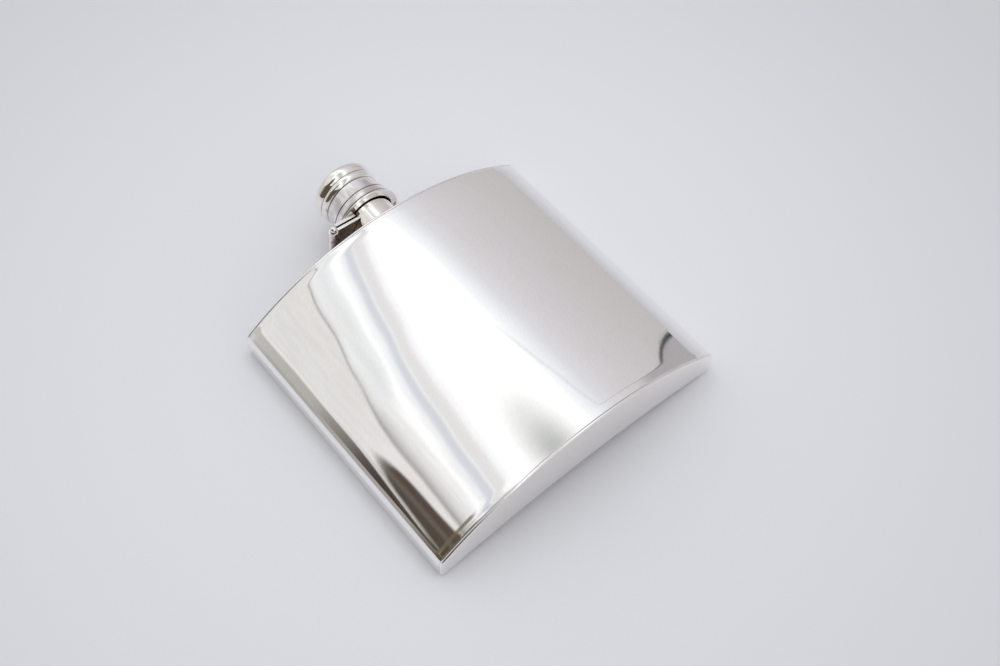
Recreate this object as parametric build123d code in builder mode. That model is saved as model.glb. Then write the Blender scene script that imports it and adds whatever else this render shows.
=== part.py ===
"""Curved silver hip flask with a hinged, quarter-turn bayonet cap.

The flask lies on its hollow back. +X runs across the body, +Y along its height towards the cap,
and +Z out of the rounded front. The origin is on the resting surface, under the middle of the
whole object. All sizes are millimetres.
"""

import os
from math import cos, radians, sin, sqrt

from build123d import *

os.makedirs("parts", exist_ok=True)

# ---- Driving dimensions: body -------------------------------------------------------------------
WIDTH = 97.0                # across the body
BODY_LENGTH = 86.6          # base face to shoulder face
SIDE_HEIGHT = 7.6           # upright side wall, up to where the front begins to bow
FRONT_RISE = 16.6           # how far the front bows above the side walls
BACK_BOW_RADIUS = 235.0     # radius of the hollow of the back
FRONT_EDGE_RADIUS = 4.0
BACK_EDGE_RADIUS = 2.2
SHEET = 0.7                 # silver sheet of the front and back
END_PLATE = 0.8             # base and top plates
SEAM_HEIGHT = 2.2           # where the front and back sheets meet on the side walls
SEAM_CLEARANCE = 4.0        # the dividing surface passes this far above the hollow back

# ---- Driving dimensions: neck -------------------------------------------------------------------
NECK_LIFT = 15.0            # height of the neck's axis above the resting surface
NECK_BORE = 5.1             # radii
NECK_RADIUS = 5.9
COLLAR_RADIUS = 7.45
COLLAR_HEIGHT = 8.0         # heights along the neck are measured from the shoulder face
COLLAR_CHAMFER = 0.4
NECK_HEIGHT = 11.2
NECK_INSIDE = 3.4           # how far the tube stands inside the body
NECK_FLANGE_RADIUS = 8.0
NECK_LUG_RADIUS = 6.75
NECK_LUG_BOTTOM = 10.15
NECK_LUG_ANGLE = 56.0

# ---- Driving dimensions: hinge ------------------------------------------------------------------
HINGE_TURN = 5.5            # the hinge stands this far round from square, in degrees
PIN_OFFSET = 13.9           # neck axis to pin axis
PIN_HEIGHT = 4.44
PIN_RADIUS = 0.6
KNUCKLE_RADIUS = 1.35
HINGE_HALF = 5.8            # half the length of the hinge
MOVING_HALF = 2.2           # half the length of the middle knuckle
SIDE_PLAY = 0.12            # gap between neighbouring knuckles
RUNNING_PLAY = 0.05         # radial play of the middle knuckle on the pin
BALL_RADIUS = 0.98
FIXED_LEAF = (4.0, 4.9)     # bottom and top of each leaf
MOVING_LEAF = (5.45, 6.5)
KNUCKLE_ROOM = 0.25         # room round a knuckle that turns past a leaf

# ---- Driving dimensions: captive ring and cap ---------------------------------------------------
RING_BORE = 8.02
RING_RADIUS = 10.1
RING_LIP_RADIUS = 0.55      # rounding of its lower edge
RING_BOTTOM = MOVING_LEAF[1]
RING_TOP = 7.3
SLEEVE_RADIUS = 8.5
SLEEVE_TOP = 8.65
RETAINER_BOTTOM = 8.15
RETAINER_RADIUS = 8.95
CAP_PLAY = 0.08             # radial and axial play of the cap on the captive ring
SKIRT_FLARE_RADIUS = 9.85
SKIRT_WAIST_RADIUS = 9.53
SKIRT_STEP = 9.95           # height of the groove between the two satin bands
SKIRT_STEP_RADIUS = 9.42
SKIRT_TOP = 14.25
SKIRT_TOP_RADIUS = 8.8
BAND_INSET = 0.06           # the upper satin band starts this much inside the lower one
BAND_WAIST_RADIUS = 8.95
GROOVE_DEPTH = 0.28
GROOVE_WIDTH = 0.32
BEAD_TOP = 16.9
BEAD_START = 14.5
BEAD_FOOT_RADIUS = 8.5
BEAD_RADIUS = 9.5
BEAD_TOP_RADIUS = 8.95
BEAD_BORE = 7.6
DOME_RING_RADIUS = 6.85     # the dome's edge is a torus of these two radii
DOME_EDGE_RADIUS = 2.95
DOME_CENTRE = 18.6
DOME_SHEET = 0.6
DOME_CROWN = 0.35           # how far the middle of the dome rises above its edge
LINER_RADIUS = 8.3
LINER_BORE = 7.7
LINER_BOTTOM = 8.75
CORK_BOTTOM = 11.3
CORK_THICKNESS = 1.7
LINER_PLATE = 0.6
CAP_LUG_BORE = 6.25
CAP_LUG_BOTTOM = 9.0
CAP_LUG_TOP = 9.95
CAP_LUG_ANGLE = 30.0

# ---- Places worked out from them ----------------------------------------------------------------
HALF = WIDTH / 2
FRONT_TOP = SIDE_HEIGHT + FRONT_RISE
DOME_TOP = DOME_CENTRE + DOME_EDGE_RADIUS + DOME_CROWN
BASE_Y = -(BODY_LENGTH + DOME_TOP) / 2
SHOULDER_Y = BASE_Y + BODY_LENGTH
# The rounded back edges rest at z = 0 and run smoothly into the hollow between them.
BACK_BOW_CENTRE = BACK_EDGE_RADIUS - sqrt(
    (BACK_BOW_RADIUS + BACK_EDGE_RADIUS) ** 2 - (HALF - BACK_EDGE_RADIUS) ** 2
)
BACK_RISE = BACK_BOW_CENTRE + BACK_BOW_RADIUS
BACK_CORNER = BACK_BOW_CENTRE + sqrt(BACK_BOW_RADIUS**2 - HALF**2)

NECK_FOOT = Vector(0, SHOULDER_Y, NECK_LIFT)
NECK_AXIS = Axis(NECK_FOOT, (0, 1, 0))
TURN = radians(HINGE_TURN)

# Profile plane of everything turned about the neck: x is the radius, y the height on the neck.
TURNING_PLANE = Plane(NECK_FOOT, x_dir=(1, 0, 0), z_dir=(0, 0, 1))
# Profile plane of the hinge: x runs from the neck towards the pin, y up the neck, and its normal
# is the direction of the pin.
HINGE_PLANE = Plane(NECK_FOOT, x_dir=(-cos(TURN), 0, sin(TURN)), z_dir=(-sin(TURN), 0, -cos(TURN)))


def neck_profile_plane(degrees):
    """Profile plane through the neck's axis, turned this far round the neck from the hinge."""
    x_dir = HINGE_PLANE.x_dir.rotate(Axis.Y, degrees)
    return Plane(NECK_FOOT, x_dir=x_dir, z_dir=x_dir.cross(Vector(0, 1, 0)))


def across_neck(height):
    """Plane square to the neck at this height, whose x points at the hinge."""
    return Plane(NECK_FOOT + Vector(0, height, 0), x_dir=HINGE_PLANE.x_dir, z_dir=(0, 1, 0))


def export(part, label):
    """Name a finished piece and write it."""
    part.label = label
    export_step(part, f"parts/{label}.step")


def turned(label, outline):
    """Make and write a ring or tube turned about the neck from points (radius, height)."""
    with BuildPart() as piece:
        with BuildSketch(TURNING_PLANE):
            with BuildLine():
                Polyline(*outline, close=True)
            make_face()
        revolve(axis=NECK_AXIS)
    export(piece.part, label)


def tube(label, bore, radius, bottom, top):
    """Make and write a plain tube or washer about the neck."""
    turned(label, [(bore, bottom), (radius, bottom), (radius, top), (bore, top)])


# ---- Body ---------------------------------------------------------------------------------------
def section_plane(y):
    """Plane of a cross-section of the body at this y, with x to the right and z up."""
    return Plane((0, y, 0), x_dir=(1, 0, 0), z_dir=(0, -1, 0))


def crescent(y):
    """Return the face of the body's cross-section at this y, with its four long edges rounded."""
    with BuildSketch(section_plane(y)) as section:
        with BuildLine():
            sides = Polyline((-HALF, BACK_CORNER), (-HALF, SIDE_HEIGHT))
            ThreePointArc(sides @ 1, (0, FRONT_TOP), (HALF, SIDE_HEIGHT))
            Line((HALF, SIDE_HEIGHT), (HALF, BACK_CORNER))
            ThreePointArc((HALF, BACK_CORNER), (0, BACK_RISE), sides @ 0)
        make_face()
        fillet(section.vertices().group_by(Axis.Y)[-1], FRONT_EDGE_RADIUS)
        fillet(section.vertices().group_by(Axis.Y)[0], BACK_EDGE_RADIUS)
    return section.sketch


with BuildPart() as body_wall:
    extrude(crescent(SHOULDER_Y - END_PLATE), amount=BODY_LENGTH - 2 * END_PLATE)
    inner = offset(crescent(SHOULDER_Y - END_PLATE), amount=-SHEET, mode=Mode.PRIVATE)
    extrude(inner, amount=BODY_LENGTH - 2 * END_PLATE, mode=Mode.SUBTRACT)

# The two sheets meet on the side walls, just above the rounded back edges. This solid holds
# everything below that seam and reaches up into the hollow between the sheets.
with BuildPart() as below_seam:
    with BuildSketch(section_plane(SHOULDER_Y)):
        with BuildLine():
            rim = Polyline((-WIDTH, SEAM_HEIGHT), (-WIDTH, -WIDTH), (WIDTH, -WIDTH), (WIDTH, SEAM_HEIGHT))
            Line(rim @ 1, (HALF, SEAM_HEIGHT))
            ThreePointArc((HALF, SEAM_HEIGHT), (0, BACK_RISE + SEAM_CLEARANCE), (-HALF, SEAM_HEIGHT))
            Line((-HALF, SEAM_HEIGHT), rim @ 0)
        make_face()
    extrude(amount=BODY_LENGTH)

with BuildPart() as front_panel:
    add(body_wall.part)
    add(below_seam.part, mode=Mode.SUBTRACT)
export(front_panel.part, "front_panel")

with BuildPart() as back_panel:
    add(body_wall.part)
    add(below_seam.part, mode=Mode.INTERSECT)
export(back_panel.part, "back_panel")

with BuildPart() as base_plate:
    extrude(crescent(BASE_Y + END_PLATE), amount=END_PLATE)
export(base_plate.part, "base_plate")

with BuildPart() as top_plate:
    extrude(crescent(SHOULDER_Y), amount=END_PLATE)
    with Locations(across_neck(-END_PLATE / 2)):
        Cylinder(NECK_RADIUS, 2 * END_PLATE, mode=Mode.SUBTRACT)
export(top_plate.part, "top_plate")

# ---- Neck ---------------------------------------------------------------------------------------
# The tube's flange is soldered under the top plate, and its mouth is what the cork closes on.
turned(
    "neck_tube",
    [
        (NECK_BORE, -NECK_INSIDE),
        (NECK_RADIUS, -NECK_INSIDE),
        (NECK_RADIUS, -2 * END_PLATE),
        (NECK_FLANGE_RADIUS, -2 * END_PLATE),
        (NECK_FLANGE_RADIUS, -END_PLATE),
        (NECK_RADIUS, -END_PLATE),
        (NECK_RADIUS, NECK_HEIGHT),
        (NECK_BORE, NECK_HEIGHT),
    ],
)
turned(
    "neck_collar",
    [
        (NECK_RADIUS, 0),
        (COLLAR_RADIUS, 0),
        (COLLAR_RADIUS, COLLAR_HEIGHT - COLLAR_CHAMFER),
        (COLLAR_RADIUS - COLLAR_CHAMFER, COLLAR_HEIGHT),
        (NECK_RADIUS, COLLAR_HEIGHT),
    ],
)


def lug_pair(label, bore, radius, bottom, top, angle, centre):
    """Make and write two opposite bayonet lugs, the first `centre` degrees round from the hinge."""
    with BuildPart() as lugs:
        for middle in (centre, centre + 180):
            with BuildSketch(neck_profile_plane(middle - angle / 2)):
                with Locations(((bore + radius) / 2, (bottom + top) / 2)):
                    Rectangle(radius - bore, top - bottom)
            revolve(axis=NECK_AXIS, revolution_arc=angle)
    export(lugs.part, label)


# The neck's lugs point towards the hinge and away from it, so that the cap can swing past them.
lug_pair("neck_lugs", NECK_RADIUS, NECK_LUG_RADIUS, NECK_LUG_BOTTOM, NECK_HEIGHT, NECK_LUG_ANGLE, 0)

# ---- Hinge --------------------------------------------------------------------------------------
def knuckles(label, bore, spans):
    """Make and write hinge barrels that cover these spans along the pin."""
    with BuildPart() as barrels:
        for start, end in spans:
            with BuildSketch(HINGE_PLANE.offset(start)):
                with Locations((PIN_OFFSET, PIN_HEIGHT)):
                    Circle(KNUCKLE_RADIUS)
                    Circle(bore, mode=Mode.SUBTRACT)
            extrude(amount=end - start)
    export(barrels.part, label)


def leaf_outline(bottom, bore):
    """Face of a hinge leaf: a strip from the neck to the pin, hollowed to fit round the neck."""
    with BuildSketch(across_neck(bottom)) as outline:
        with Locations((PIN_OFFSET / 2, 0)):
            Rectangle(PIN_OFFSET, 2 * HINGE_HALF)
        Circle(bore, mode=Mode.SUBTRACT)
    return outline.sketch


def pin_line_round(radius, half_length):
    """Round bar along the pin, used to cut the leaves to the knuckles."""
    with BuildPart() as bar:
        with BuildSketch(HINGE_PLANE):
            with Locations((PIN_OFFSET, PIN_HEIGHT)):
                Circle(radius)
        extrude(amount=half_length, both=True)
    return bar.part


FIXED_START = MOVING_HALF + SIDE_PLAY
knuckles("fixed_knuckles", PIN_RADIUS, [(-HINGE_HALF, -FIXED_START), (FIXED_START, HINGE_HALF)])
knuckles("moving_knuckle", PIN_RADIUS + RUNNING_PLAY, [(-MOVING_HALF, MOVING_HALF)])

with BuildPart() as fixed_leaf:
    extrude(leaf_outline(FIXED_LEAF[0], COLLAR_RADIUS), amount=FIXED_LEAF[1] - FIXED_LEAF[0])
    add(pin_line_round(KNUCKLE_RADIUS, HINGE_HALF), mode=Mode.SUBTRACT)
    add(pin_line_round(KNUCKLE_RADIUS + KNUCKLE_ROOM, FIXED_START), mode=Mode.SUBTRACT)
export(fixed_leaf.part, "fixed_leaf")

with BuildPart() as moving_leaf:
    extrude(leaf_outline(MOVING_LEAF[0], RING_BORE), amount=MOVING_LEAF[1] - MOVING_LEAF[0])
    # The strip ends short of the fixed knuckles and runs on over the middle one as a tab.
    notch_length = KNUCKLE_RADIUS + KNUCKLE_ROOM
    notch_width = HINGE_HALF - MOVING_HALF
    for side in (-1, 1):
        with BuildSketch(across_neck(MOVING_LEAF[0])):
            with Locations((PIN_OFFSET - notch_length / 2, side * (MOVING_HALF + notch_width / 2))):
                Rectangle(notch_length, notch_width)
        extrude(amount=MOVING_LEAF[1] - MOVING_LEAF[0], mode=Mode.SUBTRACT)
    add(pin_line_round(KNUCKLE_RADIUS, MOVING_HALF), mode=Mode.SUBTRACT)
export(moving_leaf.part, "moving_leaf")

with BuildPart() as hinge_pin:
    ball_centre = HINGE_HALF + sqrt(BALL_RADIUS**2 - PIN_RADIUS**2)
    with BuildSketch(HINGE_PLANE):
        with Locations((PIN_OFFSET, PIN_HEIGHT)):
            Circle(PIN_RADIUS)
    extrude(amount=ball_centre, both=True)
    for end in (-ball_centre, ball_centre):
        with Locations(HINGE_PLANE.from_local_coords(Vector(PIN_OFFSET, PIN_HEIGHT, end))):
            Sphere(BALL_RADIUS)
export(hinge_pin.part, "hinge_pin")

# ---- Captive ring -------------------------------------------------------------------------------
# A polished lip under the cap and a thin sleeve inside it. The retaining collar is soldered round
# the top of the sleeve and keeps the cap's inward flange on it, free to turn.
lip_end_rise = RING_TOP - RING_BOTTOM - RING_LIP_RADIUS
lip_end_radius = RING_RADIUS - RING_LIP_RADIUS + sqrt(RING_LIP_RADIUS**2 - lip_end_rise**2)

with BuildPart() as captive_ring:
    with BuildSketch(TURNING_PLANE):
        with BuildLine():
            face_line = Line((RING_BORE, RING_BOTTOM), (RING_RADIUS - RING_LIP_RADIUS, RING_BOTTOM))
            lip = TangentArc(face_line @ 1, (lip_end_radius, RING_TOP), tangent=(1, 0))
            Polyline(
                lip @ 1,
                (SLEEVE_RADIUS, RING_TOP),
                (SLEEVE_RADIUS, SLEEVE_TOP),
                (RING_BORE, SLEEVE_TOP),
                face_line @ 0,
            )
        make_face()
    revolve(axis=NECK_AXIS)
export(captive_ring.part, "captive_ring")
tube("retaining_collar", SLEEVE_RADIUS, RETAINER_RADIUS, RETAINER_BOTTOM, SLEEVE_TOP)

# ---- Cap ----------------------------------------------------------------------------------------
SKIRT_BOTTOM = RING_TOP + CAP_PLAY
FLANGE_TOP = RETAINER_BOTTOM - CAP_PLAY

with BuildPart() as cap_skirt:
    with BuildSketch(TURNING_PLANE):
        with BuildLine():
            flare = ThreePointArc(
                (SKIRT_FLARE_RADIUS, SKIRT_BOTTOM),
                (SKIRT_WAIST_RADIUS, (SKIRT_BOTTOM + SKIRT_STEP) / 2),
                (SKIRT_STEP_RADIUS, SKIRT_STEP - GROOVE_WIDTH / 2),
            )
            band_start = (SKIRT_STEP_RADIUS - BAND_INSET, SKIRT_STEP + GROOVE_WIDTH / 2)
            groove_radius = SKIRT_STEP_RADIUS - GROOVE_DEPTH
            Polyline(
                flare @ 1,
                (groove_radius, SKIRT_STEP - GROOVE_WIDTH / 2),
                (groove_radius, SKIRT_STEP + GROOVE_WIDTH / 2),
                band_start,
            )
            band = ThreePointArc(
                band_start,
                (BAND_WAIST_RADIUS, (SKIRT_STEP + SKIRT_TOP) / 2),
                (SKIRT_TOP_RADIUS, SKIRT_TOP),
            )
            Polyline(
                band @ 1,
                (LINER_RADIUS, SKIRT_TOP),
                (LINER_RADIUS, LINER_BOTTOM),
                (RETAINER_RADIUS + CAP_PLAY, LINER_BOTTOM),
                (RETAINER_RADIUS + CAP_PLAY, FLANGE_TOP),
                (SLEEVE_RADIUS + CAP_PLAY, FLANGE_TOP),
                (SLEEVE_RADIUS + CAP_PLAY, SKIRT_BOTTOM),
                flare @ 0,
            )
        make_face()
    revolve(axis=NECK_AXIS)
export(cap_skirt.part, "cap_skirt")

with BuildPart() as cap_bead:
    with BuildSketch(TURNING_PLANE):
        with BuildLine():
            foot = Polyline(
                (BEAD_BORE, SKIRT_TOP),
                (BEAD_FOOT_RADIUS, SKIRT_TOP),
                (BEAD_FOOT_RADIUS, BEAD_START),
            )
            bow = ThreePointArc(
                foot @ 1,
                (BEAD_RADIUS, (BEAD_START + BEAD_TOP) / 2),
                (BEAD_TOP_RADIUS, BEAD_TOP),
            )
            Polyline(bow @ 1, (BEAD_BORE, BEAD_TOP), foot @ 0)
        make_face()
    revolve(axis=NECK_AXIS)
export(cap_bead.part, "cap_bead")


def dome_profile(inset):
    """Edges of the dome's profile, this far inside its outer surface."""
    edge = DOME_EDGE_RADIUS - inset
    foot_rise = BEAD_TOP - DOME_CENTRE
    foot = (DOME_RING_RADIUS + sqrt(edge**2 - foot_rise**2), BEAD_TOP)
    shoulder = (DOME_RING_RADIUS, DOME_CENTRE + edge)
    crown = (0, DOME_CENTRE + edge + DOME_CROWN)
    side = ThreePointArc(foot, (DOME_RING_RADIUS + edge, DOME_CENTRE), shoulder)
    top = TangentArc(crown, shoulder, tangent=(1, 0))
    return foot, crown, [side, top]


with BuildPart() as cap_dome:
    with BuildSketch(TURNING_PLANE):
        with BuildLine():
            outer_foot, outer_crown, outer_edges = dome_profile(0)
            inner_foot, inner_crown, inner_edges = dome_profile(DOME_SHEET)
            add(outer_edges)
            add(inner_edges)
            Line(outer_foot, inner_foot)
            Line(outer_crown, inner_crown)
        make_face()
    revolve(axis=NECK_AXIS)
export(cap_dome.part, "cap_dome")

# The liner carries the cap's lugs below and the cork above; the plate closes it over the cork.
CORK_TOP = CORK_BOTTOM + CORK_THICKNESS
LINER_TOP = CORK_TOP + LINER_PLATE
tube("cap_liner", LINER_BORE, LINER_RADIUS, LINER_BOTTOM, LINER_TOP)
lug_pair("cap_lugs", CAP_LUG_BORE, LINER_BORE, CAP_LUG_BOTTOM, CAP_LUG_TOP, CAP_LUG_ANGLE, 90)
turned("cork_disc", [(0, CORK_BOTTOM), (LINER_BORE, CORK_BOTTOM), (LINER_BORE, CORK_TOP), (0, CORK_TOP)])
turned("liner_plate", [(0, CORK_TOP), (LINER_BORE, CORK_TOP), (LINER_BORE, LINER_TOP), (0, LINER_TOP)])
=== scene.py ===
"""Looks of the curved silver hip flask: polished body, polished and satin cap, pale studio.

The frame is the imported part: +X across the body, +Y along it towards the cap, +Z out of the rounded
front. Lengths named here are in millimetres, as in the part, and become metres as a mesh is made.
"""
from math import atan2, cos, exp, pi, radians, sin, sqrt, tan

import bmesh
import bpy
from mathutils import Matrix, Vector, noise


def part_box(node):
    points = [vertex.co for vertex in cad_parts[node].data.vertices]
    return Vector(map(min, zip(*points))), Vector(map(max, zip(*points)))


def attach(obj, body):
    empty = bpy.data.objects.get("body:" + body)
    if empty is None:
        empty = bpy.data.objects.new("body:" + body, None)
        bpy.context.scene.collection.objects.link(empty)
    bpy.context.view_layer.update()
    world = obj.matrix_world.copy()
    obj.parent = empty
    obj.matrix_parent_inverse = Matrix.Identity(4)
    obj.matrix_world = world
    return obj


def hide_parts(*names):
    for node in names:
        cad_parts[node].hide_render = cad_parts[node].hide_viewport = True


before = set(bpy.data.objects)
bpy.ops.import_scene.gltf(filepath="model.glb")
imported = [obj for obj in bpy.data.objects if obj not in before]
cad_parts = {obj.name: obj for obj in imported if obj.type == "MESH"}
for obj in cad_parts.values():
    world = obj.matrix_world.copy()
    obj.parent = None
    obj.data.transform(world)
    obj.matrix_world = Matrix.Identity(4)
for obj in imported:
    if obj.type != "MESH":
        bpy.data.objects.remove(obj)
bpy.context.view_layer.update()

MM = 0.001


def box_mm(node):
    """Lowest and highest corner of a CAD node, in millimetres."""
    low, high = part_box(node)
    return low / MM, high / MM


# ---- Sizes of the body --------------------------------------------------------------------------
BASE_Y = box_mm("base_plate")[0].y
SHOULDER_Y = box_mm("top_plate")[1].y
END_PLATE = box_mm("base_plate")[1].y - BASE_Y
HALF = box_mm("front_panel")[1].x
FRONT_TOP = box_mm("front_panel")[1].z
SEAM_HEIGHT = box_mm("front_panel")[0].z
SIDE_HEIGHT = 7.6
FRONT_EDGE_RADIUS = 4.0
BACK_EDGE_RADIUS = 2.2
BACK_BOW_RADIUS = 235.0
SHEET = 0.7
NECK_LIFT = 15.0
NECK_RADIUS = 5.9
CAP_RADIUS = 9.5
SKIN = 0.004                # the polished skin stands this far inside the CAD surface
WAVE_DEPTH = 0.11           # hand-finished waviness of the sheets
SLOW_WAVES = (23.0, 34.0)   # length of the waves across and along the body
QUICK_WAVES = (11.0, 13.0)
ROLL_OFFS = ((0.09, 1.3), (0.03, 5.0))  # depth and reach of the sheets' fall to their ends
END_ZONE = 3.0              # the sheets' rows are closer together within this of each end
SEAM_GROOVE = 0.04
PLATE_ROUNDING = 0.42       # outer edge of the end plates
HOLE_SEGMENTS = 96
TURNED_SEGMENTS = 192
JOIN_DISTANCE = 1e-7        # metres; points of one mesh this close become one
WELD_DISTANCE = 1e-6
NORMAL_WEIGHT = 60

FRONT_RISE = FRONT_TOP - SIDE_HEIGHT
FRONT_RADIUS = (HALF**2 + FRONT_RISE**2) / (2 * FRONT_RISE)
FRONT_CENTRE = FRONT_TOP - FRONT_RADIUS
ROLL_X = HALF - FRONT_EDGE_RADIUS
ROLL_Z = FRONT_CENTRE + sqrt((FRONT_RADIUS - FRONT_EDGE_RADIUS) ** 2 - ROLL_X**2)
ROLL_START = atan2(ROLL_X, ROLL_Z - FRONT_CENTRE)
FOOT_X = HALF - BACK_EDGE_RADIUS
BOW_CENTRE = BACK_EDGE_RADIUS - sqrt((BACK_BOW_RADIUS + BACK_EDGE_RADIUS) ** 2 - FOOT_X**2)
BOW_END = atan2(FOOT_X, BACK_EDGE_RADIUS - BOW_CENTRE)


# ---- Mesh helpers -------------------------------------------------------------------------------
def steps(start, end, count):
    """Evenly spaced values from start to end, both included."""
    return [start + (end - start) * k / count for k in range(count + 1)]


def grid_faces(rows, columns, around=False, first=0):
    """Quads of a grid whose points run column by column within each row."""
    faces = []
    for row in range(rows - 1):
        for column in range(columns if around else columns - 1):
            beside = (column + 1) % columns
            a = first + row * columns + column
            b = first + row * columns + beside
            faces.append((a, b, b + columns, a + columns))
    return faces


def make_piece(name, points, faces, body, slot, stands_for, reshape=None):
    """Build a smooth mesh from points in millimetres and tie it to its body, slot and CAD node."""
    mesh = bpy.data.meshes.new(name)
    mesh.from_pydata([Vector(p) * MM for p in points], [], faces)
    shape = bmesh.new()
    shape.from_mesh(mesh)
    bmesh.ops.remove_doubles(shape, verts=shape.verts, dist=JOIN_DISTANCE)
    if reshape:
        reshape(shape)
    bmesh.ops.recalc_face_normals(shape, faces=shape.faces)
    shape.to_mesh(mesh)
    shape.free()
    mesh.polygons.foreach_set("use_smooth", [True] * len(mesh.polygons))
    mesh.materials.append(LOOKS[slot])
    piece = bpy.data.objects.new(name, mesh)
    bpy.context.scene.collection.objects.link(piece)
    weighted = piece.modifiers.new("face_weighted_normals", "WEIGHTED_NORMAL")
    weighted.weight = NORMAL_WEIGHT
    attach(piece, body)
    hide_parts(stands_for)
    return piece


# ---- Body ---------------------------------------------------------------------------------------
def mirrored(right):
    """A whole cross-section line from its right half, which starts in the middle."""
    return [(-x, z, -nx, nz) for x, z, nx, nz in reversed(right[1:])] + right


def front_line():
    """The front's cross-section, left seam to right seam, as points with outward normals."""
    right = []
    for a in steps(0, ROLL_START, 72)[:-1]:
        right.append((FRONT_RADIUS * sin(a), FRONT_CENTRE + FRONT_RADIUS * cos(a), sin(a), cos(a)))
    for a in steps(ROLL_START, pi / 2, 16):
        x = ROLL_X + FRONT_EDGE_RADIUS * sin(a)
        z = ROLL_Z + FRONT_EDGE_RADIUS * cos(a)
        right.append((x, z, sin(a), cos(a)))
    above_seam = SEAM_HEIGHT + 3 * SEAM_GROOVE
    right += [(HALF, z, 1.0, 0.0) for z in steps(ROLL_Z, above_seam, 4)[1:] + [SEAM_HEIGHT]]
    return mirrored(right)


def back_line():
    """The back's cross-section, left seam to right seam, as points with outward normals."""
    right = []
    for a in steps(0, BOW_END, 72)[:-1]:
        x = BACK_BOW_RADIUS * sin(a)
        z = BOW_CENTRE + BACK_BOW_RADIUS * cos(a)
        right.append((x, z, -sin(a), -cos(a)))
    for a in steps(pi + BOW_END, pi / 2, 20):
        x = FOOT_X + BACK_EDGE_RADIUS * sin(a)
        z = BACK_EDGE_RADIUS + BACK_EDGE_RADIUS * cos(a)
        right.append((x, z, sin(a), cos(a)))
    return mirrored(right)


def fall(x, y):
    """How far the skin lies inside the CAD surface: its waves, and a soft fall to both ends."""
    slow = noise.noise(Vector((x / SLOW_WAVES[0], y / SLOW_WAVES[1], 1.7)))
    quick = noise.noise(Vector((x / QUICK_WAVES[0], y / QUICK_WAVES[1], 7.1)))
    waves = WAVE_DEPTH * (0.5 + 0.45 * slow + 0.14 * quick)
    distance = min(y - BASE_Y, SHOULDER_Y - y) - END_PLATE
    ends = sum(depth * exp(-((distance / reach) ** 2)) for depth, reach in ROLL_OFFS)
    return SKIN + waves + ends


def inside(place, y, depth):
    """The point this far inside a place on a cross-section."""
    x, z, nx, nz = place
    return (x - nx * depth, y, z - nz * depth)


def sheet_rows():
    """Places along the body for the sheets' rows, closer together at both ends."""
    low = BASE_Y + END_PLATE
    high = SHOULDER_Y - END_PLATE
    near = steps(0, END_ZONE, 15)
    middle = steps(END_ZONE, high - low - END_ZONE, 120)[1:-1]
    return [low + d for d in near] + [low + d for d in middle] + [high - d for d in reversed(near)]


def add_sheet(node, line, slot):
    """One of the two shells of the body, with its outer and inner skin, seam edges and ends."""
    rows = sheet_rows()
    columns = len(line)
    points = []
    for y in rows:
        for column, place in enumerate(line):
            groove = SEAM_GROOVE if column in (0, columns - 1) else 0
            points.append(inside(place, y, fall(place[0], y) + groove))
    count = len(points)
    points += [inside(place, y, SHEET) for y in rows for place in line]
    faces = grid_faces(len(rows), columns) + grid_faces(len(rows), columns, first=count)
    for column in (0, columns - 1):
        for row in range(len(rows) - 1):
            a = row * columns + column
            faces.append((a, a + columns, a + columns + count, a + count))
    for row in (0, len(rows) - 1):
        for column in range(columns - 1):
            a = row * columns + column
            faces.append((a, a + 1, a + 1 + count, a + count))
    make_piece(node + "_sheet", points, faces, "flask", slot, node)


def close_flat(shape):
    """Close the open rims of a plate with flat faces that leave its hole open."""
    rims = [edge for edge in shape.edges if edge.is_boundary]
    for level in {round(edge.verts[0].co.y, 6) for edge in rims}:
        edges = [edge for edge in rims if round(edge.verts[0].co.y, 6) == level]
        bmesh.ops.triangle_fill(shape, use_beauty=True, edges=edges)


def add_end_plate(node, inner_y, outer_y, hole=0.0):
    """A crescent plate that closes one end, with its outer edge rounded over."""
    outward = 1 if outer_y > inner_y else -1
    outline = front_line() + back_line()[-2:0:-1]
    rows = [(0.0, inner_y)]
    for a in steps(0, pi / 2, 6):
        inset = PLATE_ROUNDING * (1 - cos(a))
        rows.append((inset, outer_y - outward * PLATE_ROUNDING * (1 - sin(a))))
    points = []
    for inset, y in rows:
        points += [inside(place, y, fall(place[0], inner_y) + inset) for place in outline]
    faces = grid_faces(len(rows), len(outline), around=True)
    if hole:
        first = len(points)
        turns = steps(0, 2 * pi, HOLE_SEGMENTS)[:-1]
        for y in (inner_y, outer_y):
            points += [(hole * cos(a), y, NECK_LIFT + hole * sin(a)) for a in turns]
        faces += grid_faces(2, HOLE_SEGMENTS, around=True, first=first)
    make_piece(node + "_crescent", points, faces, "flask", "end_silver", node, close_flat)


# ---- Turned pieces of the neck and cap ----------------------------------------------------------
def rounded(outline):
    """Round the corners of a closed outline whose points are (radius, height, rounding)."""
    result = []
    for k, (radius, height, rounding) in enumerate(outline):
        corner = Vector((radius, height))
        if not rounding:
            result.append(corner)
            continue
        before = (Vector(outline[k - 1][:2]) - corner).normalized()
        after = (Vector(outline[(k + 1) % len(outline)][:2]) - corner).normalized()
        half_angle = before.angle(after) / 2
        centre = corner + (before + after).normalized() * rounding / sin(half_angle)
        start = corner + before * rounding / tan(half_angle) - centre
        end = corner + after * rounding / tan(half_angle) - centre
        result += [centre + rounding * start.slerp(end, share) for share in steps(0, 1, 5)]
    return result


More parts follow.
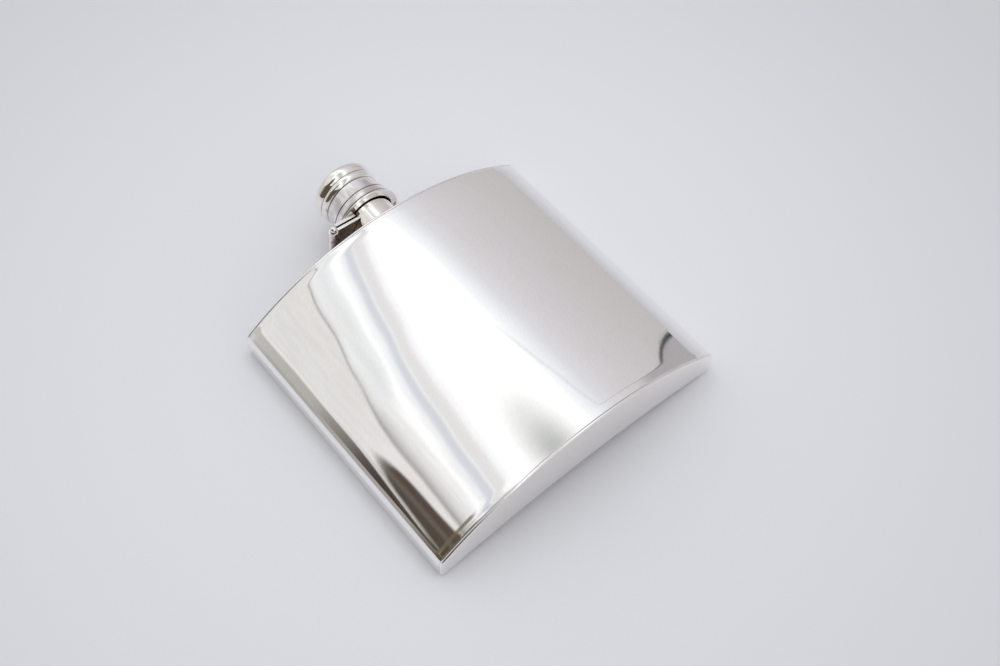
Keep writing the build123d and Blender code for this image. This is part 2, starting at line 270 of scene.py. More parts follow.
def arc(start, middle, end, count):
    """Points between start and end on the circle through three points (radius, height)."""
    a, b, c = Vector(start), Vector(middle), Vector(end)
    ab, ac = b - a, c - a
    cross = 2 * (ab.x * ac.y - ab.y * ac.x)
    offset = Vector((ac.y * ab.length_squared - ab.y * ac.length_squared,
                     ab.x * ac.length_squared - ac.x * ab.length_squared)) / cross
    centre = a + offset
    spread = (a - centre).angle_signed(b - centre) + (b - centre).angle_signed(c - centre)
    points = []
    for share in steps(0, 1, count)[1:-1]:
        turned = Matrix.Rotation(-spread * share, 2) @ (a - centre)
        points.append((centre.x + turned.x, centre.y + turned.y, 0))
    return points


def add_turned(node, outline, body, slot, hand=0.0):
    """A piece turned about the neck. hand is the depth of the faint facets left by hand work."""
    profile = rounded(outline)
    columns = len(profile)
    points = []
    for k in range(TURNED_SEGMENTS):
        turn = 2 * pi * k / TURNED_SEGMENTS
        for radius, height in profile:
            facet = noise.noise(Vector((2.6 * cos(turn), 2.6 * sin(turn), height / 6)))
            radius *= 1 - hand * (0.5 + facet) / 10
            points.append((radius * cos(turn), SHOULDER_Y + height, NECK_LIFT + radius * sin(turn)))
    faces = []
    for k in range(TURNED_SEGMENTS):
        beside = (k + 1) % TURNED_SEGMENTS
        for column in range(columns):
            after = (column + 1) % columns
            if profile[column].x > 0 or profile[after].x > 0:
                faces.append((k * columns + column, k * columns + after,
                              beside * columns + after, beside * columns + column))
    make_piece(node + "_turned", points, faces, body, slot, node)


def add_neck():
    """Neck tube with its flange and softened mouth, and the thick polished collar round it."""
    tube = [(5.1, -3.4, 0), (NECK_RADIUS, -3.4, 0), (NECK_RADIUS, -1.6, 0), (8.0, -1.6, 0),
            (8.0, -0.8, 0), (NECK_RADIUS, -0.8, 0), (NECK_RADIUS, 11.2, 0.22), (5.1, 11.2, 0.22)]
    add_turned("neck_tube", tube, "flask", "neck_silver")
    collar = [(NECK_RADIUS, 0.0, 0), (7.45, 0.0, 0.08), (7.45, 7.6, 0.25), (7.05, 8.0, 0.2),
              (NECK_RADIUS, 8.0, 0.04)]
    add_turned("neck_collar", collar, "flask", "neck_silver", hand=0.02)


def add_captive_ring():
    """The polished lip under the cap, with the thin sleeve that the cap turns on."""
    outline = [(8.02, 6.5, 0.06), (10.1, 6.5, 0.34), (10.1, 7.3, 0.44), (8.5, 7.3, 0),
               (8.5, 8.65, 0.05), (8.02, 8.65, 0.05)]
    add_turned("captive_ring", outline, "hinged_ring", "ring_silver", hand=0.03)


def add_cap():
    """The cap's satin skirt of two bands, its polished bead and dome, and the cork inside."""
    flare, flare_top = (9.83, 7.56), (9.42, 9.79)
    band, band_top = (9.36, 10.11), (8.8, 14.25)
    skirt = [(8.58, 7.56, 0.05), (*flare, 0.2), *arc(flare, (9.53, 8.665), flare_top, 12),
             (*flare_top, 0.07), (9.06, 9.79, 0.07), (9.06, 10.11, 0.07), (*band, 0.07),
             *arc(band, (8.95, 12.1), band_top, 16), (*band_top, 0.08), (8.3, 14.25, 0),
             (8.3, 8.75, 0), (9.03, 8.75, 0), (9.03, 8.07, 0.04), (8.58, 8.07, 0.04)]
    add_turned("cap_skirt", skirt, "cap", "satin_silver", hand=0.045)
    bead_foot, bead_top = (8.5, 14.5), (9.15, 16.9)
    bead = [(7.6, 14.25, 0), (8.5, 14.25, 0), (*bead_foot, 0.0),
            *arc(bead_foot, (9.5, 15.7), bead_top, 24), (*bead_top, 0.05), (7.6, 16.9, 0)]
    add_turned("cap_bead", bead, "cap", "cap_silver", hand=0.02)
    foot, side, shoulder, crown = (9.26, 16.9), (9.8, 18.6), (6.85, 21.55), (0.0, 21.9)
    inner_foot, inner_side, inner_shoulder = (8.47, 16.9), (9.2, 18.6), (6.85, 20.95)
    dome = [(*foot, 0.06), *arc(foot, side, shoulder, 28), (*shoulder, 0),
            *arc(shoulder, (3.43, 21.81), crown, 12), (*crown, 0), (0.0, 21.3, 0),
            (3.43, 21.21, 0), (*inner_shoulder, 0), *arc(inner_shoulder, inner_side, inner_foot, 14),
            (*inner_foot, 0)]
    add_turned("cap_dome", dome, "cap", "cap_silver", hand=0.02)
    cork = [(0.0, 11.34, 0), (4.9, 11.34, 0.1), (5.1, 11.5, 0.05), (5.9, 11.5, 0.05),
            (6.1, 11.34, 0.1), (7.65, 11.34, 0.2), (7.65, 13.0, 0), (0.0, 13.0, 0)]
    add_turned("cork_disc", cork, "cap", "cork")


SOFTENED = {                # CAD nodes shown as they are, with the rounding of their edges
    "neck_lugs": 0.12,
    "fixed_leaf": 0.1,
    "fixed_knuckles": 0.14,
    "hinge_pin": 0.05,
    "retaining_collar": 0.04,
    "moving_leaf": 0.12,
    "moving_knuckle": 0.14,
    "cap_liner": 0.06,
    "liner_plate": 0.04,
    "cap_lugs": 0.12,
}


def soften(node, rounding):
    """Round the hard edges of a CAD node with modifiers."""
    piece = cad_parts[node]
    weld = piece.modifiers.new("joined_faces", "WELD")
    weld.merge_threshold = WELD_DISTANCE
    bevel = piece.modifiers.new("rounded_edges", "BEVEL")
    bevel.width = rounding * MM
    bevel.segments = 3
    bevel.limit_method = "ANGLE"
    bevel.angle_limit = radians(35)
    weighted = piece.modifiers.new("face_weighted_normals", "WEIGHTED_NORMAL")
    weighted.weight = NORMAL_WEIGHT
    place = piece.material_slots[0]
    place.material = LOOKS[place.material.name.split(".")[0]]


# ---- Camera -------------------------------------------------------------------------------------
CAMERA_AZIMUTH = -41.554
CAMERA_ELEVATION = 58.878
CAMERA_ROLL = 1.892
CAMERA_DISTANCE = 365.86 * MM
CAMERA_TARGET = Vector((10.413, -7.586, -0.47)) * MM
CAMERA_LENS = 46.06
SENSOR_WIDTH = 36.0


def add_camera():
    """Make the camera, looking down on the flask from beyond its lower left corner."""
    azimuth = radians(CAMERA_AZIMUTH)
    elevation = radians(CAMERA_ELEVATION)
    back = Vector((sin(azimuth) * cos(elevation), -cos(azimuth) * cos(elevation), sin(elevation)))
    data = bpy.data.cameras.new("camera")
    data.lens = CAMERA_LENS
    data.sensor_width = SENSOR_WIDTH
    data.clip_start = 0.01
    data.clip_end = 20.0
    camera = bpy.data.objects.new("camera", data)
    turn = back.to_track_quat("Z", "Y").to_matrix().to_4x4()
    roll = Matrix.Rotation(radians(CAMERA_ROLL), 4, "Z")
    camera.matrix_world = Matrix.Translation(CAMERA_TARGET + back * CAMERA_DISTANCE) @ turn @ roll
    bpy.context.scene.collection.objects.link(camera)
    bpy.context.scene.camera = camera


# ---- Node helpers -------------------------------------------------------------------------------
class Nodes:
    """A thin wrapper that builds one node tree."""

    def __init__(self, tree):
        self.tree = tree
        tree.nodes.clear()

    def add(self, kind, **settings):
        """Add a node and set its properties by name."""
        node = self.tree.nodes.new(kind)
        for name, value in settings.items():
            setattr(node, name, value)
        return node

    def feed(self, socket, value):
        """Link an output to a socket, or set the socket's own value."""
        if isinstance(value, bpy.types.NodeSocket):
            self.tree.links.new(value, socket)
        else:
            socket.default_value = value

    def math(self, operation, *values):
        """One Math node; returns its output."""
        node = self.add("ShaderNodeMath", operation=operation)
        for socket, value in zip(node.inputs, values):
            self.feed(socket, value)
        return node.outputs[0]

    def smooth(self, value, start, end):
        """0 before start, 1 after end, and a smooth step between them."""
        node = self.add("ShaderNodeMapRange", interpolation_type="SMOOTHSTEP")
        self.feed(node.inputs["Value"], value)
        low, high = (0.0, 1.0) if start < end else (1.0, 0.0)
        node.inputs["From Min"].default_value = min(start, end)
        node.inputs["From Max"].default_value = max(start, end)
        node.inputs["To Min"].default_value = low
        node.inputs["To Max"].default_value = high
        return node.outputs["Result"]

    def ramp(self, value, start, end, stops):
        """Colour ramp between two values, with stops as (value, colour)."""
        span = self.add("ShaderNodeMapRange")
        self.feed(span.inputs["Value"], value)
        span.inputs["From Min"].default_value = start
        span.inputs["From Max"].default_value = end
        node = self.add("ShaderNodeValToRGB")
        elements = node.color_ramp.elements
        while len(elements) < len(stops):
            elements.new(0.5)
        for element, (place, colour) in zip(elements, stops):
            element.position = (place - start) / (end - start)
            element.color = (*colour, 1.0)
        self.feed(node.inputs["Fac"], span.outputs["Result"])
        return node.outputs["Color"]

    def mix(self, factor, first, second, blend="MIX"):
        """Mix two colours."""
        node = self.add("ShaderNodeMix", data_type="RGBA", blend_type=blend)
        self.feed(node.inputs[0], factor)
        self.feed(node.inputs[6], first if isinstance(first, bpy.types.NodeSocket) else (*first, 1.0))
        self.feed(node.inputs[7], second if isinstance(second, bpy.types.NodeSocket) else (*second, 1.0))
        return node.outputs[2]

    def curve(self, value, start, end, low, high, points):
        """A smooth function of value through points (value, result)."""
        span = self.add("ShaderNodeMapRange")
        self.feed(span.inputs["Value"], value)
        span.inputs["From Min"].default_value = start
        span.inputs["From Max"].default_value = end
        node = self.add("ShaderNodeFloatCurve")
        handles = node.mapping.curves[0].points
        while len(handles) < len(points):
            handles.new(0.5, 0.5)
        for handle, (place, result) in zip(handles, points):
            handle.location = ((place - start) / (end - start), (result - low) / (high - low))
        node.mapping.update()
        self.feed(node.inputs["Value"], span.outputs["Result"])
        scaled = self.math("MULTIPLY", node.outputs["Value"], high - low)
        return self.math("ADD", scaled, low)


def tone(*levels):
    """A linear colour from sRGB levels of 0 to 255."""
    shares = [level / 255 for level in levels]
    return tuple(v / 12.92 if v <= 0.04045 else ((v + 0.055) / 1.055) ** 2.4 for v in shares)


# ---- Studio -------------------------------------------------------------------------------------
WHITE = (1.25, 1.25, 1.25)
SKY_STRENGTH = 1.04
ROOM_BROWN = (0.095, 0.074, 0.054)
GOLD_GLINT = (0.36, 0.24, 0.05)
OLIVE_SHADE = (0.145, 0.128, 0.082)
PAPER = ((0.866, 0.874, 0.922), (0.886, 0.894, 0.942))
# The paper's colour away from the flask: painted shade for the falloff of the light.
PAPER_IN_PAINTED_FALLOFF = (0.745, 0.752, 0.790)
PAINTED_FALLOFF_REACH = (0.06, 0.24)   # metres from the flask between which painted shade, standing in for the light's falloff, darkens the paper
FLOOR_HALF = 3.0
LAMP_SIZE = 0.5
LAMP_POWER = 0.37
LAMP_PLACE = (0.0, 0.06, 0.5)


def band(n, value, centre, half_width, soft):
    """1 within half_width of centre, falling softly to 0."""
    distance = n.math("ABSOLUTE", n.math("SUBTRACT", value, centre))
    return n.smooth(distance, half_width + soft, half_width)


def studio_world():
    """Soft studio light. A direction is given by its turn about +Y from straight up, in degrees
    and positive towards +X, and by its share along +Y ("along")."""
    world = bpy.data.worlds.new("studio")
    bpy.context.scene.world = world
    world.use_nodes = True
    n = Nodes(world.node_tree)
    direction = n.add("ShaderNodeTexCoord").outputs["Generated"]
    parts = n.add("ShaderNodeSeparateXYZ")
    n.feed(parts.inputs[0], direction)
    x, along, up = parts.outputs
    turn = n.math("MULTIPLY", n.math("ARCTAN2", x, up), 180 / pi)

    sky = tent_light(n, direction, turn, along)
    sky = room_beyond(n, sky, turn, along)

    background = n.add("ShaderNodeBackground")
    n.feed(background.inputs["Color"], sky)
    background.inputs["Strength"].default_value = SKY_STRENGTH
    output = n.add("ShaderNodeOutputWorld")
    n.feed(output.inputs["Surface"], background.outputs[0])


def tent_light(n, direction, turn, along):
    """The light tent: a seam on its left, a blue-grey strip, and a fade to grey on the right."""
    seam = n.curve(along, 0.2, 0.6, -60, 0,
                   [(0.2, -46), (0.28, -45), (0.34, -43.9), (0.38, -42.8), (0.41, -40.3),
                    (0.435, -36.4), (0.463, -32), (0.485, -29.6), (0.52, -25.2), (0.6, -18)])
    past_seam = n.math("SUBTRACT", turn, seam)
    left_low = n.ramp(past_seam, -20, 30, [
        (-20, tone(226, 226, 225)), (-1.5, tone(230, 229, 228)), (-0.5, tone(182, 180, 178)),
        (0.2, tone(158, 158, 158)), (0.9, tone(182, 182, 182)), (2.4, tone(208, 208, 208)),
        (5, tone(231, 232, 232)), (9, tone(245, 246, 247)), (14, WHITE), (30, WHITE)])
    left_high = n.ramp(past_seam, -20, 30, [
        (-20, tone(224, 224, 223)), (-6, tone(226, 225, 223)), (-0.7, tone(225, 224, 222)),
        (-0.25, tone(178, 176, 174)), (0.25, tone(166, 165, 164)), (0.8, tone(222, 223, 223)),
        (3, tone(237, 239, 239)), (8.5, tone(228, 232, 233)), (13, tone(240, 243, 244)), (18, WHITE)])
    sky = n.mix(n.smooth(along, 0.385, 0.43), left_low, left_high)

    strip = n.curve(along, 0.2, 0.6, -40, 20,
                    [(0.2, -31), (0.28, -27.4), (0.32, -26.2), (0.36, -23.6), (0.40, -20.4),
                     (0.42, -17.9), (0.44, -13.8), (0.46, -10.2), (0.50, -3.6), (0.6, 12)])
    past_strip = n.math("SUBTRACT", turn, strip)
    middle = n.ramp(past_strip, -10, 24, [
        (-10, WHITE), (-6, tone(252, 255, 255)), (-3.4, tone(240, 243, 246)), (-1.7, tone(214, 219, 226)),
        (0.3, tone(209, 214, 220)), (1.3, tone(222, 225, 228)), (2.0, tone(240, 241, 243)),
        (2.7, tone(226, 228, 230)), (5.0, tone(227, 226, 225)), (7.2, tone(232, 231, 231)),
        (8.8, tone(246, 248, 251)),
        (11, tone(252, 254, 255)), (15, WHITE), (24, WHITE)])
    sky = n.mix(n.smooth(past_strip, -9, -6), sky, middle)

    # The fade to grey starts a little earlier near the top.
    late = n.math("SUBTRACT", turn, n.math("MULTIPLY", n.smooth(along, 0.52, 0.44), 2.5))
    right = n.ramp(late, 10, 100, [
        (10, WHITE), (19, WHITE), (23, tone(248, 252, 255)), (28, tone(232, 235, 240)),
        (33, tone(218, 219, 223)), (41, tone(210, 208, 211)), (50, tone(204, 201, 204)),
        (60, tone(199, 196, 198)), (70, tone(196, 192, 193)), (88, tone(190, 187, 187)),
        (100, tone(190, 187, 187))])
    sky = n.mix(n.smooth(turn, 10, 16), sky, right)

    # A soft grey patch low down, and the faint line of a fold beside it.
    patch = n.math("MULTIPLY", band(n, turn, 5.5, 0, 20), n.smooth(along, 0.40, 0.28))
    sky = n.mix(patch, sky, tone(190, 194, 193))
    fold = n.curve(along, 0.2, 0.6, 0, 60,
                   [(0.2, 38), (0.30, 31), (0.36, 26.5), (0.40, 22), (0.46, 15), (0.6, 6)])
    line = n.math("MULTIPLY", band(n, turn, fold, 0.2, 0.9), n.smooth(along, 0.49, 0.42))
    sky = n.mix(n.math("MULTIPLY", line, 0.4), sky, tone(205, 208, 210))

    # Wrinkles in the cloth on the left.
    cloth = n.add("ShaderNodeTexNoise")
    cloth.inputs["Scale"].default_value = 26.0
    cloth.inputs["Detail"].default_value = 4.0
    n.feed(cloth.inputs["Vector"], direction)
    wrinkle = n.math("MULTIPLY", n.smooth(cloth.outputs["Fac"], 0.62, 0.38), n.smooth(turn, -14, -42))
    return n.mix(n.math("MULTIPLY", wrinkle, 0.22), sky, tone(200, 197, 192))


def room_beyond(n, sky, turn, along):
    """What shows past the tent's open edges: dark room, bright gaps, and the tent's lower hem on the
    right.
    """
    # A brown shape beyond the left edge, with a paler line up its middle and a rounded top.
    top_bend = n.math("MULTIPLY", n.math("POWER", n.math("SUBTRACT", turn, -52.3), 2.0), 0.0016)
    under_top = n.math("SUBTRACT", n.math("SUBTRACT", 0.381, top_bend), along)
    right_side = n.math("ADD", turn, n.math("MULTIPLY", along, 12))
    dark = n.math("MULTIPLY", n.smooth(under_top, -0.006, 0.016), n.smooth(right_side, -44.0, -45.6))
    tint = n.ramp(turn, -60, -47, [
        (-60, (0.075, 0.060, 0.044)), (-54.8, (0.082, 0.066, 0.050)), (-53.0, (0.135, 0.120, 0.102)),
        (-51.2, (0.088, 0.064, 0.052)), (-47, (0.105, 0.078, 0.064))])
    sky = n.mix(dark, sky, tint)

    # The edge itself: a thin bright streak with an upright band outside it, brown low down and
    # paler higher up. Past that is plain grey, again brown low down.
    gap = n.curve(along, 0.2, 0.6, -64, -50,
                  [(0.2, -60.5), (0.28, -58.6), (0.32, -57.8), (0.34, -56.9), (0.36, -56.0),
                   (0.38, -55.4), (0.42, -55.0), (0.5, -54.9), (0.6, -54.8)])
    past_gap = n.math("SUBTRACT", turn, gap)
    upright = n.ramp(along, 0.28, 0.52, [
        (0.28, (0.075, 0.062, 0.046)), (0.365, (0.062, 0.048, 0.042)), (0.39, (0.115, 0.10, 0.092)),
        (0.42, (0.28, 0.262, 0.25)), (0.445, (0.43, 0.415, 0.39)), (0.48, tone(182, 179, 175)),
        (0.52, tone(192, 190, 187))])
    far_side = n.curve(along, 0.2, 0.6, -64, -50, [(0.2, -61.4), (0.36, -60.9), (0.6, -60.6)])
    outside = n.math("MULTIPLY", n.smooth(past_gap, -0.5, -1.3),
                     n.smooth(n.math("SUBTRACT", turn, far_side), -0.5, 0.5))
    sky = n.mix(outside, sky, upright)
    streak = n.ramp(along, 0.28, 0.46, [
        (0.28, (0.26, 0.25, 0.235)), (0.35, (0.42, 0.41, 0.38)), (0.40, tone(214, 211, 207)),
        (0.46, tone(236, 234, 230))])
    sky = n.mix(n.math("MULTIPLY", band(n, past_gap, 0, 0.1, 0.6), 0.8), sky, streak)
    outer = n.ramp(along, 0.2, 0.6, [
        (0.2, (0.095, 0.078, 0.056)), (0.27, (0.115, 0.096, 0.072)), (0.31, (0.20, 0.185, 0.16)),
        (0.34, tone(160, 157, 151)), (0.48, tone(170, 168, 164)), (0.54, tone(196, 195, 193)),
        (0.6, tone(206, 205, 204))])
    sky = n.mix(n.smooth(turn, -60.3, -61.4), sky, outer)

    # The dark brown room in front of the flask, seen low in the left part of the silver.
    across = n.math("DIVIDE", n.math("SUBTRACT", turn, -43), 34)
    rise = n.math("DIVIDE", n.math("SUBTRACT", along, -0.035), 0.23)
    nearness = n.math("ADD", n.math("MULTIPLY", across, across), n.math("MULTIPLY", rise, rise))
    sky = n.mix(n.smooth(nearness, 1.15, 0.55), sky, ROOM_BROWN)

    # A golden glint and olive shade where that room meets the tent.
    low = n.math("MULTIPLY", n.smooth(along, 0.284, 0.276), n.smooth(along, 0.19, 0.25))
    olive = n.math("MULTIPLY", low, band(n, turn, -50, 10, 5))
    sky = n.mix(n.math("MULTIPLY", olive, 0.85), sky, OLIVE_SHADE)
    glint = n.math("MULTIPLY", band(n, along, 0.235, 0.003, 0.02), band(n, turn, -60, 1, 4))
    sky = n.mix(n.math("MULTIPLY", glint, 0.6), sky, GOLD_GLINT)

    # On the right the tent's lower hem, a thin line that darkens to the right, with grey below it.
    hem = n.curve(turn, 20, 100, 0.18, 0.32,
                  [(20, 0.278), (30, 0.272), (36, 0.268), (45, 0.262), (55, 0.262), (60, 0.265),
                   (63, 0.269), (66, 0.274), (69, 0.2785), (72, 0.284), (75, 0.289), (80, 0.2945),
                   (86, 0.2965), (92, 0.2955), (100, 0.29)])
    above_hem = n.math("SUBTRACT", along, hem)
    on_right = n.smooth(turn, 50, 62)
    below = n.math("MULTIPLY", n.smooth(above_hem, 0.001, -0.002), n.smooth(above_hem, -0.12, -0.08))
    sky = n.mix(n.math("MULTIPLY", below, on_right), sky, tone(170, 167, 170))
    hem_line = n.math("MULTIPLY", band(n, above_hem, 0, 0.0012, 0.0026), n.smooth(turn, 26, 36))
    dark_hem = n.ramp(turn, 30, 90, [
        (30, tone(214, 216, 220)), (40, (0.30, 0.30, 0.31)), (55, (0.20, 0.21, 0.215)),
        (66, (0.11, 0.12, 0.12)), (75, (0.045, 0.055, 0.055)),
        (84, (0.008, 0.014, 0.015)), (90, (0.014, 0.02, 0.02))])
    return n.mix(hem_line, sky, dark_hem)


def floor_material():
    """Matt pale paper, darkened a little away from the flask by painted shade for the light's falloff."""
    material = bpy.data.materials.new("floor_paper")
    material.use_nodes = True
    n = Nodes(material.node_tree)
    place = n.add("ShaderNodeTexCoord").outputs["Object"]
    fibre = n.add("ShaderNodeTexNoise")
    fibre.inputs["Scale"].default_value = 1800.0
    n.feed(fibre.inputs["Vector"], place)
    shade = n.mix(n.smooth(fibre.outputs["Fac"], 0.3, 0.7), *PAPER)
    away = n.add("ShaderNodeVectorMath", operation="LENGTH")
    n.feed(away.inputs[0], place)
    # Painted shade: the paper darkens away from the flask as if the light fell off there.
    paper_with_painted_falloff = n.mix(n.smooth(away.outputs["Value"], *PAINTED_FALLOFF_REACH), shade, PAPER_IN_PAINTED_FALLOFF)
    shader = n.add("ShaderNodeBsdfPrincipled")
    n.feed(shader.inputs["Base Color"], paper_with_painted_falloff)
    shader.inputs["Roughness"].default_value = 0.9
    output = n.add("ShaderNodeOutputMaterial")
    n.feed(output.inputs["Surface"], shader.outputs[0])
    return material


def add_floor():
    """Plain pale floor that the flask lies on."""
    mesh = bpy.data.meshes.new("floor")
    corners = [(FLOOR_HALF * x, FLOOR_HALF * y, 0) for x, y in ((-1, -1), (1, -1), (1, 1), (-1, 1))]
    mesh.from_pydata(corners, [], [(0, 1, 2, 3)])
    mesh.materials.append(floor_material())
    floor = bpy.data.objects.new("floor", mesh)
    bpy.context.scene.collection.objects.link(floor)


def add_lamp():
    """A large soft lamp over the floor, hidden from the silver's reflections."""
    data = bpy.data.lights.new("lamp", "AREA")
    data.shape = "DISK"
    data.size = LAMP_SIZE
    data.energy = LAMP_POWER
    lamp = bpy.data.objects.new("lamp", data)
    lamp.location = LAMP_PLACE
    lamp.visible_glossy = False
    bpy.context.scene.collection.objects.link(lamp)


# ---- Materials ----------------------------------------------------------------------------------
def grain(n, place, size, turn=0.0, detail=2.0):
    """Noise whose grains have this size in millimetres along x, y and z, turned about Z."""
    mapping = n.add("ShaderNodeMapping", vector_type="TEXTURE")
    n.feed(mapping.inputs["Vector"], place)
    mapping.inputs["Rotation"].default_value = (0.0, 0.0, radians(turn))
    mapping.inputs["Scale"].default_value = [length * MM for length in size]
    texture = n.add("ShaderNodeTexNoise")
    texture.inputs["Scale"].default_value = 1.0
    texture.inputs["Detail"].default_value = detail
    n.feed(texture.inputs["Vector"], mapping.outputs[0])
    return texture.outputs["Fac"]


def round_neck(n, place):
    """Coordinates for brushing round the neck: distance round it, along it and out from it."""
    parts = n.add("ShaderNodeSeparateXYZ")
    n.feed(parts.inputs[0], place)
    x, y, z = parts.outputs
    up = n.math("SUBTRACT", z, NECK_LIFT * MM)
    around = n.math("MULTIPLY", n.math("ARCTAN2", up, x), CAP_RADIUS * MM)
    outward = n.math("SQRT", n.math("ADD", n.math("MULTIPLY", x, x), n.math("MULTIPLY", up, up)))
    joined = n.add("ShaderNodeCombineXYZ")
    for socket, value in zip(joined.inputs, (around, y, outward)):
        n.feed(socket, value)
    return joined.outputs[0]


def relief(n, *layers):
    """Bump from layers of (pattern, depth in micrometres)."""
    height = 0.0
    for pattern, depth in layers:
        height = n.math("ADD", height, n.math("MULTIPLY", pattern, depth))
    bump = n.add("ShaderNodeBump")
    bump.inputs["Strength"].default_value = 1.0
    bump.inputs["Distance"].default_value = 1e-6
    n.feed(bump.inputs["Height"], height)
    return bump.outputs["Normal"]


def crevices(n, reach):
    """1 deep in corners and grooves, 0 on open surfaces; reach in millimetres."""
    occlusion = n.add("ShaderNodeAmbientOcclusion", samples=8)
    occlusion.inputs["Distance"].default_value = reach * MM
    return n.smooth(occlusion.outputs["AO"], 0.82, 0.3)


def new_look(name):
    """A material, its node builder, its Principled shader and its object coordinates."""
    material = bpy.data.materials.new(name)
    material.use_nodes = True
    n = Nodes(material.node_tree)
    shader = n.add("ShaderNodeBsdfPrincipled")
    output = n.add("ShaderNodeOutputMaterial")
    n.feed(output.inputs["Surface"], shader.outputs[0])
    return material, n, shader, n.add("ShaderNodeTexCoord").outputs["Object"]


SILVER = (0.975, 0.960, 0.958)
WARM_SILVER = (0.955, 0.920, 0.875)
WORN_SILVER = (0.915, 0.90, 0.89)
END_SILVER = (0.985, 0.953, 0.93)
HINGE_SILVER = (0.93, 0.88, 0.82)
TARNISH = (0.085, 0.066, 0.046)
# Brown of the hinge's tarnish, and painted shade where the hinge lies close over the shoulder plate.
BROWN_TARNISH_AND_SHADE = (0.15, 0.095, 0.062)
POLISHING_TURN = 40         # degrees from +X; the way the polishing strokes run


def polished(name, colour, roughness, crevice_reach=0.0, strokes=0.3, dulled=0.0, tarnish=TARNISH):
    """Hand-polished silver: fine polishing strokes, a few hairline scratches, faint smears, and
    dark tarnish left in its corners, which with a wide reach, as on the hinge, is partly painted shade.
    strokes is the depth of the polishing marks in micrometres."""
    material, n, shader, place = new_look(name)
    turn = POLISHING_TURN
    smear = grain(n, place, (9, 14, 9), turn)
    cloudy = grain(n, place, (2.6, 0.9, 2.6), turn)
    tint = n.mix(n.math("MULTIPLY", n.smooth(smear, 0.45, 0.75), 0.35), colour, WARM_SILVER)
    worn = n.smooth(grain(n, place, (1.4, 0.3, 1.4), turn, 3.0), 0.35, 0.70)
    tint = n.mix(n.math("MULTIPLY", worn, 0.5), tint, WORN_SILVER)
    rough = n.math("ADD", roughness, n.math("MULTIPLY", n.smooth(smear, 0.4, 0.8), 0.5 * roughness))
    dulling = n.math("MULTIPLY", n.smooth(cloudy, 0.5, 0.8), 0.35 * roughness + dulled)
    rough = n.math("ADD", rough, dulling)
    # Darkening near other surfaces: real tarnish in tight corners; with a wide reach, as on the hinge,
    # partly painted shade.
    if crevice_reach:
        crevice_mask = crevices(n, crevice_reach)
        tint = n.mix(n.math("MULTIPLY", crevice_mask, 0.93), tint, tarnish)
        rough = n.math("ADD", rough, n.math("MULTIPLY", crevice_mask, 0.25))
    hairlines = n.smooth(grain(n, place, (0.05, 7, 0.05), turn + 25, 0.0), 0.78, 0.86)
    crossed = n.smooth(grain(n, place, (0.05, 9, 0.05), turn - 55, 0.0), 0.79, 0.87)
    marks = relief(n, (grain(n, place, (1.5, 0.35, 1.5), turn), strokes),
                   (grain(n, place, (5, 6, 5), turn), 4 * strokes),
                   (n.math("MAXIMUM", hairlines, crossed), -0.5 * strokes))
    n.feed(shader.inputs["Base Color"], tint)
    n.feed(shader.inputs["Roughness"], rough)
    n.feed(shader.inputs["Normal"], marks)
    shader.inputs["Metallic"].default_value = 1.0
    return material


def satin(name):
    """Brushed silver of the cap's skirt: fine brushing round it, broad facets left by hand work, darkened
    in colour by painted shade, and tarnish in its grooves."""
    material, n, shader, place = new_look(name)
    around = round_neck(n, place)
    brushing = grain(n, around, (5, 0.09, 9))
    streaks = grain(n, around, (1.1, 6, 9), detail=1.0)
    facets = grain(n, around, (3.4, 5.5, 30), detail=0.0)
    crevice_mask = crevices(n, 0.9)
    tint = n.mix(n.smooth(streaks, 0.4, 0.75), (0.95, 0.92, 0.925), (0.80, 0.755, 0.755))
    # Painted shade: the broad facets are darkened in colour as if tilted away from the light; their real
    # tilt is the bump below.
    tint = n.mix(n.smooth(facets, 0.48, 0.66), tint, (0.70, 0.655, 0.64))
    tint = n.mix(n.math("MULTIPLY", n.smooth(brushing, 0.55, 0.75), 0.25), tint, (0.62, 0.60, 0.57))
    tint = n.mix(n.math("MULTIPLY", crevice_mask, 0.9), tint, TARNISH)
    rough = n.math("ADD", 0.24, n.math("MULTIPLY", streaks, 0.16))
    n.feed(shader.inputs["Base Color"], tint)
    n.feed(shader.inputs["Roughness"], n.math("ADD", rough, n.math("MULTIPLY", crevice_mask, 0.2)))
    n.feed(shader.inputs["Normal"], relief(n, (brushing, 2.2), (streaks, 7), (facets, 90)))
    shader.inputs["Metallic"].default_value = 1.0
    return material


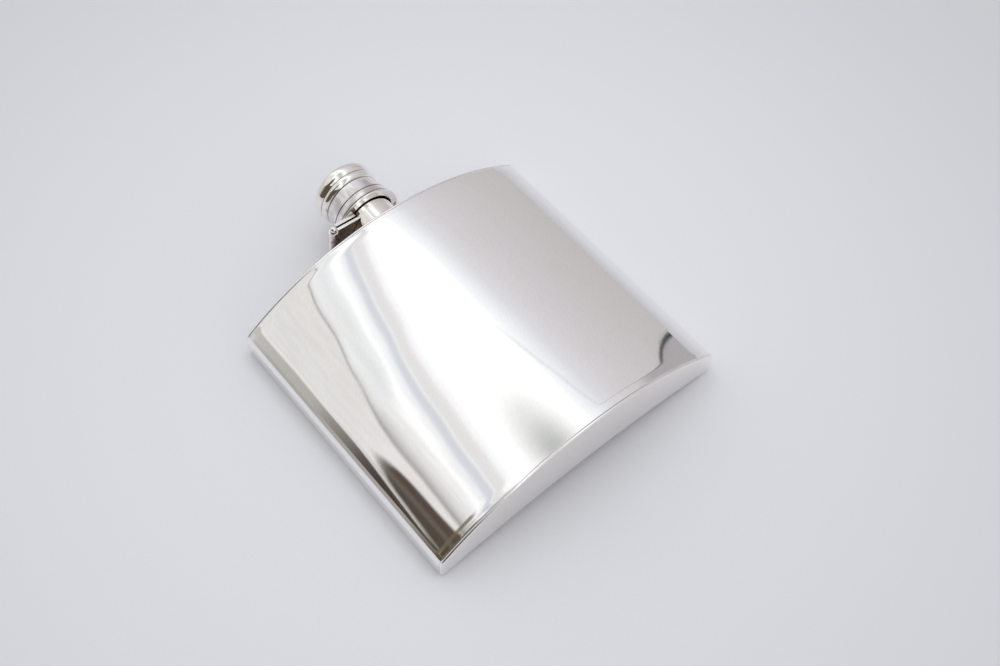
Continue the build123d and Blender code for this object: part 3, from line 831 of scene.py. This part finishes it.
def cork_look():
    """Pressed cork with dark granules and pores."""
    material, n, shader, place = new_look("cork_look")
    cells = n.add("ShaderNodeTexVoronoi")
    cells.inputs["Scale"].default_value = 900.0
    n.feed(cells.inputs["Vector"], place)
    granule = n.add("ShaderNodeSeparateColor")
    n.feed(granule.inputs[0], cells.outputs["Color"])
    tint = n.mix(granule.outputs[0], (0.42, 0.24, 0.115), (0.60, 0.39, 0.21))
    pores = n.smooth(grain(n, place, (0.35, 0.35, 0.35), detail=4.0), 0.60, 0.68)
    tint = n.mix(n.math("MULTIPLY", pores, 0.8), tint, (0.10, 0.048, 0.022))
    n.feed(shader.inputs["Base Color"], tint)
    shader.inputs["Roughness"].default_value = 0.85
    n.feed(shader.inputs["Normal"], relief(n, (cells.outputs["Distance"], 60), (pores, -90)))
    return material


LOOKS = {
    "front_silver": polished("front_silver_look", SILVER, 0.035),
    "back_silver": polished("back_silver_look", WARM_SILVER, 0.05, strokes=0.5),
    "end_silver": polished("end_silver_look", END_SILVER, 0.13, dulled=0.05),
    "neck_silver": polished("neck_silver_look", WARM_SILVER, 0.06, crevice_reach=1.2),
    # The hinge's wide reach and brown paint shade where it lies over the shoulder plate, on top of its
    # real tarnish.
    "hinge_silver": polished("hinge_silver_look", HINGE_SILVER, 0.09, crevice_reach=9.0,
                             tarnish=BROWN_TARNISH_AND_SHADE),
    "pin_silver": polished("pin_silver_look", SILVER, 0.08, crevice_reach=0.5),
    "ring_silver": polished("ring_silver_look", WARM_SILVER, 0.05, crevice_reach=0.8),
    "satin_silver": satin("satin_silver_look"),
    "cap_silver": polished("cap_silver_look", WARM_SILVER, 0.05, crevice_reach=0.8),
    "liner_silver": polished("liner_silver_look", WARM_SILVER, 0.25, crevice_reach=1.5, dulled=0.1),
    "cork": cork_look(),
}

# ---- Scene --------------------------------------------------------------------------------------
bpy.context.scene.view_settings.view_transform = "Standard"
add_camera()
studio_world()
add_floor()
add_lamp()
add_sheet("front_panel", front_line(), "front_silver")
add_sheet("back_panel", back_line(), "back_silver")
add_end_plate("base_plate", BASE_Y + END_PLATE, BASE_Y)
add_end_plate("top_plate", SHOULDER_Y - END_PLATE, SHOULDER_Y, hole=NECK_RADIUS)
add_neck()
add_captive_ring()
add_cap()
for softened, rounding in SOFTENED.items():
    soften(softened, rounding)
